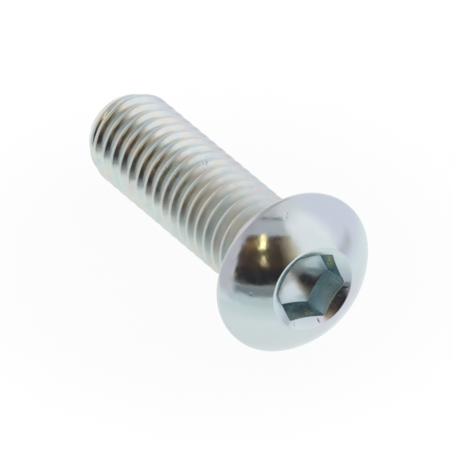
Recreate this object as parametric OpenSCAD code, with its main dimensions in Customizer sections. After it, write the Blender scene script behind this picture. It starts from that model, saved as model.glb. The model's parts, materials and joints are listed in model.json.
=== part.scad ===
// Hex-socket button-head machine screw, lying on a flat surface as it comes to rest.
// Millimetres, +Z up. The screw runs along X with its head toward +X.
// The origin is at the bottom centre of the resting screw's bounding box.

/* [Thread] */
// Major diameter over the thread crests
thread_d = 6; // [5:0.1:7]
// Distance from one crest to the next
pitch = 1; // [0.8:0.05:1.25]
// Length under the head
screw_len = 20; // [14:1:30]
// Length of the taper at the tip, up to the first full crest
tip_len = 0.85; // [0.8:0.05:1.8]
// Length of the plain neck under the head
neck_len = 1.8; // [1.2:0.1:2.6]
// How much smaller the neck's diameter is than the thread's
neck_relief = 0.18; // [0.1:0.02:0.4]
// Length over which the groove runs out toward the neck
runout_len = 1.2; // [1:0.1:3]

/* [Head] */
// Diameter of the head
head_d = 10.5; // [9.6:0.1:12]
// Height of the dome's crown above the bearing face
head_h = 3.3; // [3:0.05:3.8]
// Height of the straight land round the rim
rim_h = 0.35; // [0.25:0.05:0.7]
// Rounding of the rim's edge at the bearing face
rim_edge_r = 0.12; // [0.05:0.01:0.2]
// Fillet between the bearing face and the neck
fillet_r = 0.25; // [0.15:0.05:0.4]

/* [Hex socket] */
// Size of the socket across its flats
hex_af = 4.1; // [3:0.1:4.3]
// Diameter of the countersunk mouth
mouth_d = 5.5; // [5.1:0.05:5.8]
// Included angle of the countersink
mouth_angle = 120; // [90:5:130]
// Depth of the socket's walls below the mouth
socket_depth = 2.2; // [1.6:0.05:2.4]
// Further depth of the punched point at the bottom
point_depth = 0.8; // [0.4:0.05:1]
// Diameter of the small flat at the point
point_flat_d = 0.2; // [0.1:0.05:0.6]
// Turn of the socket's corners about the axis
hex_turn = 18; // [0:1:60]

/* [Hidden] */
$fn = 96;

// How far the thread's ridge reaches under the surface it stands on
reach = 0.08;

// Thread form: flanks at 60 degrees to each other, and a crest flat of an eighth of the pitch
flank_run = tan(30);
crest_flat = pitch / 8;
depth_per_pitch = 0.6134;
thread_r = thread_d / 2;
thread_depth = depth_per_pitch * pitch;
root_r = thread_r - thread_depth;
neck_r = thread_r - neck_relief / 2;

// Tip: a small chamfer on the core, then a taper over the ridge up to the first full crest
end_chamfer = 0.15;
tip_z = end_chamfer - screw_len;
taper = thread_depth / tip_len;
tip_r = root_r + end_chamfer * taper;

// The ridge is laid in straight steps, and its first full crest lies on the underside.
// It starts as a sliver just above the chamfer, and sinks into the neck over its last half turn.
turn_steps = 32;
step_angle = 360 / turn_steps;
step_rise = pitch / turn_steps;
sliver = pitch / 4;
ridge_low_z = tip_z + end_chamfer / 5;
first_crest_z = tip_len + crest_flat / 2 - screw_len;
ridge_start_z = tip_z - crest_flat / 2 - thread_depth * flank_run + sliver;
lead_steps = floor((first_crest_z - ridge_start_z) / step_rise);
ridge_steps = lead_steps + floor((-neck_len - first_crest_z) / step_rise);
sink_steps = turn_steps / 2;
sink_rise = (thread_r - neck_r + reach) / sink_steps;

// Head
head_r = head_d / 2;
crown_h = head_h - rim_h;
dome_r = (head_r * head_r + crown_h * crown_h) / (2 * crown_h);
dome_z = head_h - dome_r;

// Socket
hex_r = hex_af / 2 / cos(30);
mouth_r = mouth_d / 2;
mouth_z = dome_z + sqrt(dome_r * dome_r - mouth_r * mouth_r);
mouth_cone_h = mouth_r / tan(mouth_angle / 2);
point_z = mouth_z - socket_depth - point_depth;
point_flat_r = point_flat_d / 2;
point_cone_h = point_depth * (mouth_r - point_flat_r) / (hex_r - point_flat_r);

// Resting tilt: the rim's edge and the first full crest both touch the surface
touch_run = screw_len - tip_len + rim_edge_r;
touch_drop = head_r - rim_edge_r - thread_r;
rest_tilt = atan2(touch_drop, touch_run) + asin(rim_edge_r / norm([touch_run, touch_drop]));
rest_z = (screw_len - tip_len) * sin(rest_tilt) + thread_r * cos(rest_tilt);
front_x = mouth_z * cos(rest_tilt) + mouth_r * sin(rest_tilt);
back_x = -screw_len * cos(rest_tilt) - (root_r - end_chamfer) * sin(rest_tilt);
rest_x = -(front_x + back_x) / 2;

// Height of the ridge's middle at step i, counted from the first full crest
function ridge_z(i) = first_crest_z + (i - lead_steps) * step_rise;

// Width of the ridge at radius r
function ridge_w(r) = crest_flat + 2 * (thread_r - r) * flank_run;

// Radius where the taper cuts the flank that faces the tip (side -1) or the head (side 1)
function tapered_r(i, side) =
    let (run = side * (crest_flat / 2 + thread_r * flank_run))
    (root_r + taper * (ridge_z(i) + screw_len + run)) / (1 + side * taper * flank_run);

// Radius of a crest corner, between the tip's taper and the neck
function crest_r(i, side) =
    min(
        thread_r,
        max(tip_r, tapered_r(i, side)),
        neck_r - reach / 2 + (ridge_steps - i) * sink_rise
    );

// A corner of the ridge's section at step i, kept above the tip's chamfer
function ridge_corner(i, side, r) =
    let (a = (i - lead_steps) * step_angle)
    let (z = ridge_z(i) + side * ridge_w(r) / 2)
    [r * cos(a), r * sin(a), max(ridge_low_z, z)];

// Half of the turned outline: dome, rim, fillet, neck, run-out, core and tip
module turned_section() {
    intersection() {
        translate([0, dome_z]) circle(r = dome_r);
        union() {
            square([head_r - rim_edge_r, head_h]);
            translate([0, rim_edge_r]) square([head_r, head_h]);
            translate([head_r - rim_edge_r, rim_edge_r]) circle(r = rim_edge_r);
        }
    }
    difference() {
        translate([0, -fillet_r]) square([neck_r + fillet_r, 2 * fillet_r]);
        translate([neck_r + fillet_r, -fillet_r]) circle(r = fillet_r);
    }
    polygon([
        [0, fillet_r],
        [neck_r, fillet_r],
        [neck_r, -neck_len],
        [root_r, -neck_len - runout_len],
        [root_r, tip_z],
        [root_r - end_chamfer, -screw_len],
        [0, -screw_len]
    ]);
}

// The thread: a four-sided section carried up the helix
module thread_ridge() {
    points = [
        for (i = [0 : ridge_steps])
            for (corner = [
                ridge_corner(i, -1, root_r - reach),
                ridge_corner(i, -1, crest_r(i, -1)),
                ridge_corner(i, 1, crest_r(i, 1)),
                ridge_corner(i, 1, root_r - reach)
            ])
                corner
    ];
    sides = [
        for (i = [0 : ridge_steps - 1])
            for (k = [0 : 3])
                let (a = 4 * i + k)
                let (b = 4 * i + (k + 1) % 4)
                for (face = [[a, b, b + 4], [a, b + 4, a + 4]])
                    face
    ];
    last = 4 * ridge_steps;
    ends = [
        [0, 2, 1],
        [0, 3, 2],
        [last, last + 1, last + 2],
        [last, last + 2, last + 3]
    ];
    polyhedron(points, concat(sides, ends));
}

// What the punch leaves: a hexagon with a shallow point, and a countersunk mouth
module hex_socket() {
    intersection() {
        rotate([0, 0, hex_turn])
        translate([0, 0, point_z - head_h])
        cylinder(r = hex_r, h = mouth_z - point_z + head_h, $fn = 6);
        union() {
            translate([0, 0, point_z]) cylinder(r1 = point_flat_r, r2 = mouth_r, h = point_cone_h);
            translate([0, 0, point_z + point_cone_h]) cylinder(r = mouth_r, h = head_h);
        }
    }
    translate([0, 0, mouth_z - mouth_cone_h]) cylinder(r1 = 0, r2 = 2 * mouth_r, h = 2 * mouth_cone_h);
}

module screw() {
    color([0.78, 0.8, 0.82])
    translate([rest_x, 0, rest_z])
    rotate([0, 90 - rest_tilt, 0]) {
        difference() {
            rotate_extrude() turned_section();
            hex_socket();
        }
        thread_ridge();
    }
}

screw();
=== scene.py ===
"""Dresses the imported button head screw: a smooth mesh of its head, socket and rolled thread,
its zinc plating, and a pale stage for it to lie on."""
import json
import math
from types import SimpleNamespace

import bmesh
import bpy
from bpy.props import FloatProperty, PointerProperty, StringProperty
from mathutils import Matrix, Vector


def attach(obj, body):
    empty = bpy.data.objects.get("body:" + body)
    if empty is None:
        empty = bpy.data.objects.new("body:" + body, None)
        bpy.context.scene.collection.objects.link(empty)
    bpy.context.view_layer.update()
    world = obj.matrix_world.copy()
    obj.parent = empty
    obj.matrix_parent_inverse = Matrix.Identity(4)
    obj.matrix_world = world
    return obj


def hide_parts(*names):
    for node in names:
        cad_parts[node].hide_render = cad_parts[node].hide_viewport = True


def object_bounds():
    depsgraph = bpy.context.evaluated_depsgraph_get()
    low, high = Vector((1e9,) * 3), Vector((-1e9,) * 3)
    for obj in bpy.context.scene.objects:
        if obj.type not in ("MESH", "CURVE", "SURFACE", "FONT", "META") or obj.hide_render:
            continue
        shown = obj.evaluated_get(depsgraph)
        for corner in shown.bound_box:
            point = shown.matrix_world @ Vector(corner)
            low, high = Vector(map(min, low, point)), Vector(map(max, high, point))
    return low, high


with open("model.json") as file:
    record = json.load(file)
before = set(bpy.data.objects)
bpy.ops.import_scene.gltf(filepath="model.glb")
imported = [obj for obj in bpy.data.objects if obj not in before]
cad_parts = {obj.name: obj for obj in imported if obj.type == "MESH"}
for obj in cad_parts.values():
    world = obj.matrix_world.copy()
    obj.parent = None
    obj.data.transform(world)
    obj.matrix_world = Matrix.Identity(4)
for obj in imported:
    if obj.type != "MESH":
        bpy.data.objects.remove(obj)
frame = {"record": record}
CAD_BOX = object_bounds()
MOUNTS = {mount["name"]: mount for mount in frame["record"]["mounts"]}

bl_info = {
    "name": "Button Head Screw",
    "version": (1, 0, 0),
    "blender": (4, 5, 0),
    "location": "View3D > Sidebar > Screw",
    "description": "Models the visible screw in place of its packed solid, and a pale stage for it",
    "category": "Object",
}

MM = 0.001
TURN = 2 * math.pi
WHITE = (1, 1, 1, 1)

# Marks of handling: turn about the axis from the underside in degrees, radius, height above the bearing face,
# reach and depth in millimetres, and whether the mark is a ring.
MARKS = (
    (-175.5, 3.0, -9.54, 0.2, 0.05, True),
    (-173.0, 4.79, 1.0, 0.13, 0.014, False),
    (-171.0, 4.66, 1.16, 0.1, 0.012, False),
    (-100.9, 3.94, 1.87, 0.14, 0.006, False),
    (-63.8, 4.44, 1.4, 0.25, 0.008, False),
    (-88.0, 4.6, 1.23, 0.3, 0.008, False),
    (-40.0, 4.2, 1.64, 0.28, 0.007, False),
    (73.0, 2.3, 2.32, 0.1, 0.05, False),
    (42.0, 2.2, 2.34, 0.1, 0.04, False),
    (55.0, 2.3, 2.42, 0.1, 0.03, False),
    (5.9, 2.42, 2.46, 0.1, 0.04, False),
    (-31.9, 2.49, 2.5, 0.1, 0.03, False),
)


def length(name, millimetres, description):
    """A length property with its default given in millimetres."""
    return FloatProperty(name=name, description=description, default=millimetres * MM, unit="LENGTH",
                         precision=5)


def angle(name, degrees, description):
    """An angle property with its default given in degrees."""
    return FloatProperty(name=name, description=description, default=math.radians(degrees), subtype="ANGLE")


def colour(name, code, description):
    """A colour property that holds an sRGB hex code."""
    return StringProperty(name=name, description=description, default=code)


class ScrewSizes(bpy.types.PropertyGroup):
    """Sizes of the screw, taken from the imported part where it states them."""

    thread_radius: length("Thread radius", MOUNTS["thread"]["dims"]["r_mm"], "Radius over the crests")
    pitch: length("Pitch", 1.0, "Distance from one crest to the next")
    thread_depth: length("Thread depth", 0.6134, "Depth of the groove below the crests")
    crest_rounding: length("Crest rounding", 0.115, "How far a crest's rounding reaches from its corner")
    root_rounding: length("Root rounding", 0.025, "How far a root's rounding reaches from its corner")
    shank_length: length("Length", 20.0, "Length under the head")
    tip_taper: length("Tip taper", 1.3, "Length of the taper at the tip, up to the first full crest")
    first_crest: length("First crest", 0.9125, "Distance of the first full crest from the end")
    crest_flat: length("Crest flat", 0.24, "Width of a crest before it is rounded")
    end_chamfer: length("End chamfer", 0.16, "Chamfer on the core at the very end")
    neck_radius: length("Neck radius", MOUNTS["shank_neck"]["dims"]["r_mm"], "Radius of the plain neck")
    neck_length: length("Neck length", 1.8, "Length of the plain neck under the head")
    runout: length("Run-out", 1.2, "Length over which the groove fades into the neck")
    fillet: length("Fillet", 0.25, "Fillet between the neck and the bearing face")
    head_radius: length("Head radius", CAD_BOX[1].y / MM, "Radius of the head's rim")
    head_height: length("Head height", 3.3, "Height of the dome's crown above the bearing face")
    rim_height: length("Rim height", 0.35, "Height of the straight land round the rim")
    rim_edge: length("Rim edge", 0.12, "Rounding of the rim at the bearing face")
    land_edge: length("Land edge", 0.06, "Rounding between the land and the dome")
    mouth_radius: length("Mouth radius", 2.75, "Radius of the socket's countersunk mouth")
    mouth_angle: angle("Mouth angle", 120.0, "Included angle of the countersink")
    hex_flats: length("Hex flats", 4.1, "Size of the socket across its flats")
    hex_corner: length("Hex corner", 0.02, "How much the punch's worn corners fall short of a sharp hexagon")
    hex_turn: angle("Hex turn", 18.0, "Turn of the socket's corners about the axis")
    socket_depth: length("Socket depth", MOUNTS["hex_drive"]["dims"]["length_mm"], "Depth of its walls")
    point_depth: length("Point depth", 1.0, "Further depth of the punched point")
    point_radius: length("Point radius", 0.1, "Radius of the small flat at the point")
    mouth_edge: length("Mouth edge", 0.09, "Rounding of the mouth's edge on the dome")
    edge_softness: length("Edge softness", 0.05, "Rounding of the socket's other edges under the plating")


class PlateFinish(bpy.types.PropertyGroup):
    """Colours and gloss of the zinc plating."""

    body: colour("Plating", "DBE2E3", "Colour of the bright plating")
    rolled: colour("Thread", "E1E8E5", "Colour of the plating on the rolled thread")
    cool: colour("Cool tint", "DAE4E2", "Blue-green tint of the clear passivation")
    lilac: colour("Lilac tint", "DAD8E2", "Lilac tint of the clear passivation")
    straw: colour("Straw tint", "E7E7DC", "Straw tint of the clear passivation on the thread")
    pink: colour("Pink tint", "E4E1E0", "Pink tint of the clear passivation on the thread")
    # The socket's colour is darker and bluer than the plating: painted shade deep in the socket.
    socket: colour("Socket", "BACED3", "Colour of the thin plating deep in the socket")
    roughness: FloatProperty(name="Roughness", description="Roughness of the plating at the tip",
                             default=0.2, min=0, max=1, subtype="FACTOR")
    burnish: FloatProperty(name="Burnish", description="Change of roughness on the head, from its die",
                           default=-0.075, min=-1, max=1)
    haze: FloatProperty(name="Haze", description="Change of roughness on the thread nearest the head",
                        default=0.24, min=-1, max=1)
    dulling: FloatProperty(name="Dulling", description="Change of roughness deep in the socket",
                           default=0.12, min=-1, max=1)


class StageLook(bpy.types.PropertyGroup):
    """Where the camera stands, and what surrounds the screw."""

    azimuth: angle("Azimuth", 59.0, "Direction of the camera round the screw")
    elevation: angle("Elevation", 37.75, "Height of the camera above the horizon")
    distance: length("Distance", 1100.0, "Distance from the camera to the screw")
    frame_width: length("Frame width", 27.263, "Width of the picture at the screw")
    aim_right: length("Aim right", -3.9, "How far right of the bearing face's centre the camera aims")
    aim_up: length("Aim up", 2.689, "How far above the bearing face's centre the camera aims")
    floor_radius: length("Floor radius", 20.0, "Radius of the pale floor")


def millimetres(sizes):
    """The group's lengths in millimetres, its angles in radians, and the radii that follow from them."""
    s = SimpleNamespace()
    for prop in sizes.bl_rna.properties:
        if prop.type == "FLOAT":
            value = getattr(sizes, prop.identifier)
            setattr(s, prop.identifier, value / MM if prop.unit == "LENGTH" else value)
    s.root_radius = s.thread_radius - s.thread_depth
    crown = s.head_height - s.rim_height
    s.dome_radius = (s.head_radius ** 2 + crown ** 2) / (2 * crown)
    s.dome_z = s.head_height - s.dome_radius
    s.mouth_z = s.dome_z + math.sqrt(s.dome_radius ** 2 - s.mouth_radius ** 2)
    s.point_z = s.mouth_z - s.socket_depth - s.point_depth
    s.hex_radius = s.hex_flats / 2 / math.cos(math.pi / 6)
    return s


def outline(bm, corners):
    """An open chain of edges in the plane y = 0 through (radius, height) corners."""
    verts = [bm.verts.new((radius, 0, z)) for radius, z in corners]
    for pair in zip(verts, verts[1:]):
        bm.edges.new(pair)
    return verts


def round_corners(bm, verts, reach, segments):
    """Rounds corners of an outline, each over the given reach along its edges."""
    bmesh.ops.bevel(bm, geom=verts, offset=reach, offset_type="OFFSET", affect="VERTICES",
                    segments=segments, profile=0.5, material=-1)


def fade(t):
    """A smooth step from 0 to 1."""
    t = min(1.0, max(0.0, t))
    return t * t * (3 - 2 * t)


def roll_thread(bm, s):
    """The threaded shank: one outline of all the pitches, carried once round with a rise of one pitch."""
    columns = 128
    half_crest = s.crest_flat / 2
    half_root = s.pitch / 2 - half_crest - s.thread_depth * math.tan(math.pi / 6)
    first_crest = s.first_crest - s.shank_length
    corners = []
    for k in range(-3, round(s.shank_length / s.pitch) + 1):
        crest = first_crest + k * s.pitch
        root = crest + s.pitch / 2
        corners += [(s.thread_radius, crest - half_crest), (s.thread_radius, crest + half_crest),
                    (s.root_radius, root - half_root), (s.root_radius, root + half_root)]
    chain = outline(bm, corners)[1:-1]
    crests = [v for v in chain if v.co.x > s.root_radius + s.thread_depth / 2]
    roots = [v for v in chain if v not in crests]
    round_corners(bm, crests, s.crest_rounding, 3)
    round_corners(bm, roots, s.root_rounding, 3)
    flanks = [e for e in bm.edges if e.calc_length() > s.thread_depth / 2]
    bmesh.ops.subdivide_edges(bm, edges=flanks, cuts=1)
    bmesh.ops.spin(bm, geom=bm.verts[:] + bm.edges[:], cent=(0, 0, 0), axis=(0, 0, 1),
                   dvec=(0, 0, s.pitch / columns), angle=TURN, steps=columns, use_merge=False)
    bmesh.ops.remove_doubles(bm, verts=bm.verts, dist=1e-4)
    end = -s.shank_length
    for level, clear_below in ((end, True), (end + s.end_chamfer, False)):
        bmesh.ops.bisect_plane(bm, geom=bm.verts[:] + bm.edges[:] + bm.faces[:], dist=1e-5,
                               plane_co=(0, 0, level), plane_no=(0, 0, -1), clear_outer=clear_below)
    bmesh.ops.bisect_plane(bm, geom=bm.verts[:] + bm.edges[:] + bm.faces[:], dist=1e-5,
                           plane_co=(0, 0, -2 * s.fillet), plane_no=(0, 0, 1), clear_outer=True)
    taper = s.thread_depth / s.tip_taper
    for v in bm.verts:
        radius = math.hypot(v.co.x, v.co.y)
        kept = fade((-s.neck_length - v.co.z) / s.runout)
        formed = s.neck_radius + (radius - s.neck_radius) * kept
        rise = v.co.z - end
        formed = min(formed, s.root_radius + rise * taper)
        formed = min(formed, s.root_radius - s.end_chamfer + rise * (1 + taper))
        v.co.xy *= formed / radius


def close_tip(bm, s):
    """The flat end, with the shallow dish that the cropping leaves in it."""
    edges = [e for e in bm.edges if e.is_boundary and e.verts[0].co.z < -s.shank_length / 2]
    for share, depth in ((0.87, 0.0), (0.85, 0.05), (0.6, 0.09)):
        made = bmesh.ops.extrude_edge_only(bm, edges=edges)["geom"]
        edges = [part for part in made if isinstance(part, bmesh.types.BMEdge)]
        for v in (part for part in made if isinstance(part, bmesh.types.BMVert)):
            v.co.xy *= share
            v.co.z = depth - s.shank_length
    end = bmesh.ops.contextual_create(bm, geom=edges)["faces"]
    bmesh.ops.poke(bm, faces=end)


def turn_head(bm, s):
    """The head: fillet, bearing face, rim and dome, turned from one outline. Returns the mouth's edges."""
    columns = 192
    threaded = set(bm.verts)
    chain = outline(bm, [(s.neck_radius, -1.5 * s.fillet), (s.neck_radius, 0), (s.head_radius, 0),
                         (s.head_radius, s.rim_height)])
    sweep = math.asin(s.head_radius / s.dome_radius) - math.asin(s.mouth_radius / s.dome_radius)
    bmesh.ops.spin(bm, geom=chain[3:], cent=(0, 0, s.dome_z), axis=(0, 1, 0), angle=-sweep, steps=36)
    round_corners(bm, chain[1:2], s.fillet, 5)
    round_corners(bm, chain[2:3], s.rim_edge, 4)
    round_corners(bm, chain[3:4], s.land_edge, 3)
    turned = [v for v in bm.verts if v not in threaded]
    bmesh.ops.rotate(bm, verts=turned, cent=(0, 0, 0), matrix=Matrix.Rotation(s.hex_turn, 3, "Z"))
    edges = [e for e in bm.edges if e.is_wire]
    bmesh.ops.spin(bm, geom=turned + edges, cent=(0, 0, 0), axis=(0, 0, 1), angle=TURN, steps=columns,
                   use_merge=True)
    open_edges = [e for e in bm.edges if e.is_boundary]
    bmesh.ops.bridge_loops(bm, edges=[e for e in open_edges if e.verts[0].co.z < 0])
    return [e for e in open_edges if e.verts[0].co.z > 0]


def punch_socket(bm, s, mouth):
    """The countersink, hexagon and punched point, extruded ring by ring from the mouth."""
    sink = 1 / math.tan(s.mouth_angle / 2)
    slope = s.point_depth / (s.hex_radius - s.point_radius)

    def hex_reach(co):
        turned = (math.atan2(co.y, co.x) - s.hex_turn) % (math.pi / 3) - math.pi / 6
        return min(s.hex_flats / 2 / math.cos(turned), s.hex_radius - s.hex_corner)

    def ring(edges, radius_of, height_of):
        made = bmesh.ops.extrude_edge_only(bm, edges=edges)["geom"]
        for v in (part for part in made if isinstance(part, bmesh.types.BMVert)):
            radius = radius_of(hex_reach(v.co))
            v.co.xy *= radius / math.hypot(v.co.x, v.co.y)
            v.co.z = height_of(radius)
        return [part for part in made if isinstance(part, bmesh.types.BMEdge)]

    def sunk(radius):
        return s.mouth_z - (s.mouth_radius - radius) * sink

    def bottom(radius):
        return s.point_z + (radius - s.point_radius) * slope

    lip = ring(mouth, lambda reach: reach, sunk)
    foot = ring(lip, lambda reach: reach, bottom)
    edges = foot
    for k in range(1, 9):
        edges = ring(edges, lambda reach: reach + (s.point_radius - reach) * k / 8, bottom)
    flat = bmesh.ops.contextual_create(bm, geom=edges)["faces"]
    bmesh.ops.poke(bm, faces=flat)
    for loop, softness in ((mouth, s.mouth_edge), (lip, s.edge_softness), (foot, s.edge_softness)):
        bmesh.ops.bevel(bm, geom=loop, offset=softness, offset_type="OFFSET", affect="EDGES",
                        segments=4, profile=0.5, material=-1)


def press_mark(bm, centre, reach, depth, hollow):
    """Refines the faces round a point and presses a mark into them, as a pit or, if hollow, as a ring."""
    near = [f for f in bm.faces if (f.calc_center_median() - centre).length < 2 * reach]
    bmesh.ops.subdivide_edges(bm, edges=list({e for f in near for e in f.edges}), cuts=3, use_grid_fill=True)
    bm.normal_update()
    inward = -min(bm.verts, key=lambda v: (v.co - centre).length).normal
    for v in bm.verts:
        out = (v.co - centre).length / reach
        if out < 2:
            pressed = math.exp(-((out - 0.7) / 0.3) ** 2) if hollow else math.exp(-2 * out * out)
            v.co += inward * depth * pressed


def knock(bm):
    """The small marks of handling: a ring on a crest, dents in the dome and nicks in the socket's lip."""
    for turn, radius, z, reach, depth, hollow in MARKS:
        centre = Vector((radius * math.cos(math.radians(turn)), radius * math.sin(math.radians(turn)), z))
        press_mark(bm, centre, reach, depth, hollow)


def mark_finish(bm, s):
    """Notes on every vertex how burnished it is, how hazy, and how thinly plated in the socket, where the
    colour also carries painted shade.
    """
    burnish = bm.verts.layers.float.new("burnish")
    haze = bm.verts.layers.float.new("haze")
    socket_shade_and_dulling = bm.verts.layers.float.new("socket_shade_and_dulling")
    wall = s.hex_flats / 2
    for v in bm.verts:
        radius = v.co.xy.length
        v[burnish] = fade(v.co.z / s.rim_height + 1)
        # The haze grows from three quarters of the way to the tip, up to the run-out.
        v[haze] = (1 - v[burnish]) * fade((v.co.z / s.shank_length + 0.75) / 0.6)
        if v.co.z > s.point_z - 0.01 and radius < s.mouth_radius:
            # The walls take the socket's painted shade and dulling in full from 0.6 mm down, the punched
            # point less.
            walled = fade((radius / wall - 0.85) / 0.1)
            v[socket_shade_and_dulling] = fade((s.mouth_z - v.co.z) / 0.6) * (0.3 + 0.7 * walled)


# Sockets of a Mix node that mixes colours
MIX_FIRST, MIX_SECOND, MIX_RESULT = 6, 7, 2


def linear(code):
    """Linear RGBA of an sRGB hex code."""
    channels = [int(code[i:i + 2], 16) / 255 for i in (0, 2, 4)]
    return [c / 12.92 if c <= 0.04045 else ((c + 0.055) / 1.055) ** 2.4 for c in channels] + [1.0]


def add_node(tree, kind, inputs=None, **settings):
    """Adds a node with its settings, and a value or a link for each named input."""
    node = tree.nodes.new(kind)
    for name, value in settings.items():
        setattr(node, name, value)
    for socket, value in (inputs or {}).items():
        if isinstance(value, bpy.types.NodeSocket):
            tree.links.new(value, node.inputs[socket])
        else:
            node.inputs[socket].default_value = value
    return node


def per_metre(millimetres_across):
    """Scale of a pattern on Object coordinates whose features are that many millimetres across."""
    return 1 / (millimetres_across * MM)


def zinc_plating(finish):
    """Steel with bright zinc plating and clear passivation: nearly a mirror on the burnished head, hazier on
    the rolled thread and dull in the socket, where the bath plates thinly; its darker, bluer colour there is
    painted shade. The passivation film leaves faint lilac and blue-green patches on the head, and straw, pink
    and green ones on the thread."""
    material = bpy.data.materials.new("zinc_plated_steel_clear_passivated")
    material.use_nodes = True
    tree = material.node_tree
    tree.nodes.clear()
    place = add_node(tree, "ShaderNodeTexCoord").outputs["Object"]
    burnish, haze, socket_shade_and_dulling = (add_node(tree, "ShaderNodeAttribute", attribute_name=name).outputs["Fac"]
                             for name in ("burnish", "haze", "socket_shade_and_dulling"))
    tints = []
    for across, codes in ((1.3, (finish.cool, finish.rolled, finish.straw, finish.pink)),
                          (5.0, (finish.cool, finish.body, finish.body, finish.lilac))):
        film = add_node(tree, "ShaderNodeTexNoise", {
            "Vector": place, "Scale": per_metre(across), "Detail": 3.0})
        ramp = add_node(tree, "ShaderNodeValToRGB", {"Fac": film.outputs["Fac"]})
        stops = ramp.color_ramp.elements
        stops[0].position, stops[0].color = 0.33, linear(codes[0])
        stops[1].position, stops[1].color = 0.68, linear(codes[3])
        stops.new(0.46).color = linear(codes[1])
        stops.new(0.57).color = linear(codes[2])
        tints.append(ramp.outputs["Color"])
    tint = tints[0]
    # The head takes its own tints, and deep in the socket the colour darkens to the socket's painted shade.
    for mark, other in ((burnish, tints[1]), (socket_shade_and_dulling, linear(finish.socket))):
        tint = add_node(tree, "ShaderNodeMix", {"Factor": mark, MIX_FIRST: tint, MIX_SECOND: other},
                        data_type="RGBA").outputs[MIX_RESULT]
    patches = add_node(tree, "ShaderNodeTexNoise", {"Vector": place, "Scale": per_metre(0.6), "Detail": 4.0})
    gloss = add_node(tree, "ShaderNodeMapRange", {
        "Value": patches.outputs["Fac"], "From Min": 0.35, "From Max": 0.65,
        "To Min": finish.roughness - 0.04, "To Max": finish.roughness + 0.05}).outputs["Result"]
    for mark, change in ((burnish, finish.burnish), (haze, finish.haze), (socket_shade_and_dulling, finish.dulling)):
        gloss = add_node(tree, "ShaderNodeMath", {0: mark, 1: change, 2: gloss},
                         operation="MULTIPLY_ADD").outputs[0]
    # The plating's real grain is a few micrometres across, too fine to show, so it is drawn coarser.
    grain = add_node(tree, "ShaderNodeTexNoise", {"Vector": place, "Scale": per_metre(0.12), "Detail": 3.0})
    smooth = add_node(tree, "ShaderNodeMath", {0: 1.0, 1: socket_shade_and_dulling}, operation="SUBTRACT").outputs[0]
    bump = add_node(tree, "ShaderNodeBump", {
        "Height": grain.outputs["Fac"], "Strength": smooth, "Distance": 0.0015 * MM})
    peel = add_node(tree, "ShaderNodeTexNoise", {"Vector": place, "Scale": per_metre(0.7), "Detail": 2.0})
    ripple = add_node(tree, "ShaderNodeBump", {
        "Height": peel.outputs["Fac"], "Strength": smooth, "Distance": 0.008 * MM,
        "Normal": bump.outputs["Normal"]})
    plate = add_node(tree, "ShaderNodeBsdfPrincipled", {
        "Base Color": tint, "Metallic": 1.0, "Roughness": gloss, "Normal": ripple.outputs["Normal"]})
    add_node(tree, "ShaderNodeOutputMaterial", {"Surface": plate.outputs["BSDF"]})
    return material


class SCREW_OT_form(bpy.types.Operator):
    """Models the screw in one piece: rolled thread, turned head and punched socket"""

    bl_idname = "screw.form"
    bl_label = "Form the Screw"

    def execute(self, context):
        s = millimetres(context.scene.screw_sizes)
        bm = bmesh.new()
        roll_thread(bm, s)
        close_tip(bm, s)
        punch_socket(bm, s, turn_head(bm, s))
        if any(not e.is_manifold for e in bm.edges):
            raise RuntimeError("the screw's surface is not closed")
        bmesh.ops.recalc_face_normals(bm, faces=bm.faces)
        knock(bm)
        mark_finish(bm, s)
        for face in bm.faces:
            face.smooth = True
        bearing = MOUNTS["bearing_face"]
        lean = math.asin(-bearing["axis"][2])
        turn = Matrix.Rotation(math.pi / 2 - lean, 4, "Y")
        lay = Matrix.Translation(bearing["pos_m"]) @ turn @ Matrix.Scale(MM, 4)
        bmesh.ops.transform(bm, matrix=lay, verts=bm.verts)
        mesh = bpy.data.meshes.new("button_head_screw")
        bm.to_mesh(mesh)
        bm.free()
        screw = bpy.data.objects.new("button_head_screw", mesh)
        context.scene.collection.objects.link(screw)
        mesh.materials.append(zinc_plating(context.scene.screw_finish))
        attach(screw, "root")
        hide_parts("screw")
        return {"FINISHED"}


def camera_axes(stage):
    """Unit vectors toward the camera, to its right and up."""
    level = math.cos(stage.elevation)
    toward = Vector((math.sin(stage.azimuth) * level, -math.cos(stage.azimuth) * level,
                     math.sin(stage.elevation)))
    right = Vector((math.cos(stage.azimuth), math.sin(stage.azimuth), 0))
    return toward, right, toward.cross(right)


# What surrounds the screw, each part laid over those before it: bearing and height of its middle as seen
# from the screw, half its width and half its height, softness of its edge, all in degrees with bearing 0
# toward the camera; then its colour and brightness. The tent's heights are above the horizon.
TENT = (
    ((-125, 10), (40, 30), 14, "ECECEC", 1.0),   # white cloth behind on the left
    ((-74, 18), (38, 36), 12, "D0D0D3", 1.0),    # grey-white cloth on the left
    ((-95, 66), (75, 20), 22, "B8B8BA", 1.0),    # its shaded roof
    ((110, 62), (62, 18), 20, "E4E4E6", 1.0),    # lighter roof on the right
    ((115, 20), (45, 40), 20, "E6E6F4", 1.0),    # lilac cloth on the right
    ((68, 34), (24, 26), 22, "F8F8FC", 1.06),    # light through the cloth, right of the camera
    ((92, -5), (22, 6), 8, "CCCFD6", 1.0),       # the cloth's foot on the right
    ((-160, 46), (22, 18), 15, "C0BABE", 1.0),   # the tent's seam behind
    ((0, -38), (60, 10), 14, "DCE6E6", 1.0),     # the board in front, in the tent's shade
)
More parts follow.
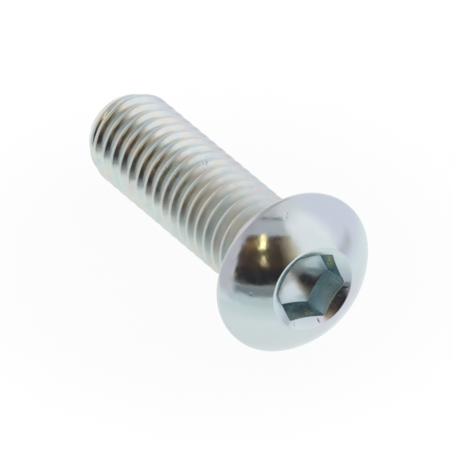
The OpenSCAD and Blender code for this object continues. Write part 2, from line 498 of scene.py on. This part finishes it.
# Heights in the tent's front are measured straight ahead, where its level edges stay level.
FRONT = (
    ((14.5, 64), (37, 10), 5, "BCC2C6", 1.0),    # grey hood over the opening
    ((14.5, 74), (37, 1.6), 3, "7A7C80", 1.0),   # its dark edge
    ((2, -24), (44, 8), 8, "CCD8DA", 1.0),       # the board, darker toward its far edge
    ((3, -11.5), (38, 6), 5, "7E888C", 1.0),     # the far edge itself
    ((2.5, 25), (38.5, 29.5), 4, "483B32", 1.0),  # dim room beyond the opening
    ((44, 38), (14, 18), 26, "D0C4A8", 1.0),     # its tan wall, lighter toward the right
    ((68, 28), (25, 44), 16, "F6F7FA", 1.02),    # lit cloth beside the opening
    ((-20, 45), (12, 8), 10, "7A5C38", 1.0),     # a brown wall left of the lamp
    ((4, 7), (34, 9), 10, "302F32", 1.0),        # the dark table below them
    ((-6, 47), (5, 8), 4, "FFF0B0", 2.0),        # a warm lamp in the room
    ((-3, 26.5), (2.5, 5), 3, "F0DCA8", 1.5),    # and its lower glow
)


def light_tent(stage):
    """The soft surroundings: a white tent, open on the camera's side to a dim room with a warm lamp."""
    world = bpy.data.worlds.new("light_tent")
    world.use_nodes = True
    tree = world.node_tree
    tree.nodes.clear()
    direction = add_node(tree, "ShaderNodeTexCoord").outputs["Generated"]
    turned = add_node(tree, "ShaderNodeVectorRotate", {
        "Vector": direction, "Angle": math.pi / 2 - stage.azimuth}, rotation_type="Z_AXIS")
    toward = add_node(tree, "ShaderNodeSeparateXYZ", {"Vector": turned.outputs["Vector"]}).outputs
    bearing, ahead = (add_node(tree, "ShaderNodeMath", {0: toward[axis], 1: toward["X"]},
                               operation="ARCTAN2").outputs[0] for axis in "YZ")
    height = add_node(tree, "ShaderNodeMath", {0: toward["Z"]}, operation="ARCSINE").outputs[0]
    climb = add_node(tree, "ShaderNodeMath", {0: height, 1: 1 / math.pi, 2: 0.5}, operation="MULTIPLY_ADD")
    walls = add_node(tree, "ShaderNodeValToRGB", {"Fac": climb.outputs[0]})
    stops = walls.color_ramp.elements
    stops[0].position, stops[0].color = 0.45, linear("EDF6F6")
    stops[1].position, stops[1].color = 0.95, linear("C9C6CB")
    stops.new(0.55).color = linear("F0EEEE")
    stops.new(0.75).color = linear("E6E4EA")
    seen = walls.outputs["Color"]
    panels = [(panel, height) for panel in TENT] + [(panel, ahead) for panel in FRONT]
    for (middle, half, softness, code, brightness), upward in panels:
        cover = 1.0
        for value, centre, reach in zip((bearing, upward), middle, half):
            off = add_node(tree, "ShaderNodeMath", {0: value, 1: math.radians(centre)}, operation="SUBTRACT")
            away = add_node(tree, "ShaderNodeMath", {0: off.outputs[0], 1: math.pi}, operation="PINGPONG")
            cover = add_node(tree, "ShaderNodeMapRange", {
                "Value": away.outputs[0], "From Min": math.radians(reach + softness / 2),
                "From Max": math.radians(reach - softness / 2), "To Max": cover},
                interpolation_type="SMOOTHSTEP").outputs["Result"]
        shade = [channel * brightness for channel in linear(code)]
        seen = add_node(tree, "ShaderNodeMix", {"Factor": cover, MIX_FIRST: seen, MIX_SECOND: shade},
                        data_type="RGBA").outputs[MIX_RESULT]
    rays = add_node(tree, "ShaderNodeLightPath").outputs
    shown = add_node(tree, "ShaderNodeMix", {
        "Factor": rays["Is Camera Ray"], MIX_FIRST: seen, MIX_SECOND: WHITE},
        data_type="RGBA").outputs[MIX_RESULT]
    back = add_node(tree, "ShaderNodeBackground", {"Color": shown, "Strength": 1.0})
    add_node(tree, "ShaderNodeOutputWorld", {"Surface": back.outputs["Background"]})
    return world


# How much of the floor shows as plain white to the camera and in the plating. The rest takes the shadow.
FLOOR_SEEN = 0.94
FLOOR_MIRRORED = 0.85


def pale_floor(context, stage):
    """A round white board under the screw, which keeps its shadow and fades out toward its edge."""
    bm = bmesh.new()
    bmesh.ops.create_circle(bm, cap_ends=True, segments=96, radius=stage.floor_radius)
    mesh = bpy.data.meshes.new("floor")
    bm.to_mesh(mesh)
    bm.free()
    floor = bpy.data.objects.new("floor", mesh)
    context.scene.collection.objects.link(floor)
    material = bpy.data.materials.new("white_board_matt")
    material.use_nodes = True
    tree = material.node_tree
    tree.nodes.clear()
    board = add_node(tree, "ShaderNodeBsdfDiffuse", {"Color": linear("F2F8F8")})
    rays = add_node(tree, "ShaderNodeLightPath").outputs
    paper = add_node(tree, "ShaderNodeMix", {
        "Factor": rays["Is Camera Ray"], MIX_FIRST: linear("F4F8F8"), MIX_SECOND: WHITE}, data_type="RGBA")
    white = add_node(tree, "ShaderNodeEmission", {"Color": paper.outputs[MIX_RESULT], "Strength": 1.0})
    mirrored = add_node(tree, "ShaderNodeMath", {0: rays["Is Glossy Ray"], 1: rays["Is Transmission Ray"]},
                        operation="MAXIMUM")
    plain = add_node(tree, "ShaderNodeMath", {0: mirrored.outputs[0], 1: FLOOR_MIRRORED},
                     operation="MULTIPLY")
    plain = add_node(tree, "ShaderNodeMath", {
        0: rays["Is Camera Ray"], 1: FLOOR_SEEN, 2: plain.outputs[0]}, operation="MULTIPLY_ADD")
    lit = add_node(tree, "ShaderNodeMixShader", {
        0: plain.outputs[0], 1: board.outputs[0], 2: white.outputs[0]})
    place = add_node(tree, "ShaderNodeTexCoord").outputs["Object"]
    out = add_node(tree, "ShaderNodeVectorMath", {0: place}, operation="LENGTH").outputs["Value"]
    gone = add_node(tree, "ShaderNodeMapRange", {
        "Value": out, "From Min": 0.5 * stage.floor_radius, "From Max": stage.floor_radius},
        interpolation_type="SMOOTHSTEP")
    clear = add_node(tree, "ShaderNodeBsdfTransparent")
    edged = add_node(tree, "ShaderNodeMixShader", {
        0: gone.outputs["Result"], 1: lit.outputs[0], 2: clear.outputs[0]})
    add_node(tree, "ShaderNodeOutputMaterial", {"Surface": edged.outputs[0]})
    mesh.materials.append(material)


class SCREW_OT_stage(bpy.types.Operator):
    """Lays the pale floor and sets the soft surroundings and the camera"""

    bl_idname = "screw.stage"
    bl_label = "Set the Stage"

    def execute(self, context):
        scene = context.scene
        stage = scene.screw_stage
        toward, right, up = camera_axes(stage)
        aim = Vector(MOUNTS["bearing_face"]["pos_m"]) + right * stage.aim_right + up * stage.aim_up
        lens = bpy.data.cameras.new("camera")
        lens.lens = lens.sensor_width * stage.distance / stage.frame_width
        camera = bpy.data.objects.new("camera", lens)
        camera.location = aim + toward * stage.distance
        camera.rotation_euler = toward.to_track_quat("Z", "Y").to_euler()
        scene.collection.objects.link(camera)
        scene.camera = camera
        scene.world = light_tent(stage)
        pale_floor(context, stage)
        scene.view_settings.view_transform = "Standard"
        return {"FINISHED"}


class SCREW_PT_panel(bpy.types.Panel):
    """The screw's sizes, finish and stage"""

    bl_label = "Button Head Screw"
    bl_space_type = "VIEW_3D"
    bl_region_type = "UI"
    bl_category = "Screw"

    def draw(self, context):
        for group, operator in (("screw_sizes", "screw.form"), ("screw_finish", None),
                                ("screw_stage", "screw.stage")):
            settings = getattr(context.scene, group)
            box = self.layout.box()
            for name in settings.__annotations__:
                box.prop(settings, name)
            if operator:
                box.operator(operator)


CLASSES = (ScrewSizes, PlateFinish, StageLook, SCREW_OT_form, SCREW_OT_stage, SCREW_PT_panel)


def register():
    for cls in CLASSES:
        bpy.utils.register_class(cls)
    bpy.types.Scene.screw_sizes = PointerProperty(type=ScrewSizes)
    bpy.types.Scene.screw_finish = PointerProperty(type=PlateFinish)
    bpy.types.Scene.screw_stage = PointerProperty(type=StageLook)


def unregister():
    del bpy.types.Scene.screw_stage
    del bpy.types.Scene.screw_finish
    del bpy.types.Scene.screw_sizes
    for cls in reversed(CLASSES):
        bpy.utils.unregister_class(cls)


def main():
    register()
    bpy.ops.screw.form()
    bpy.ops.screw.stage()


if __name__ == "__main__":
    main()
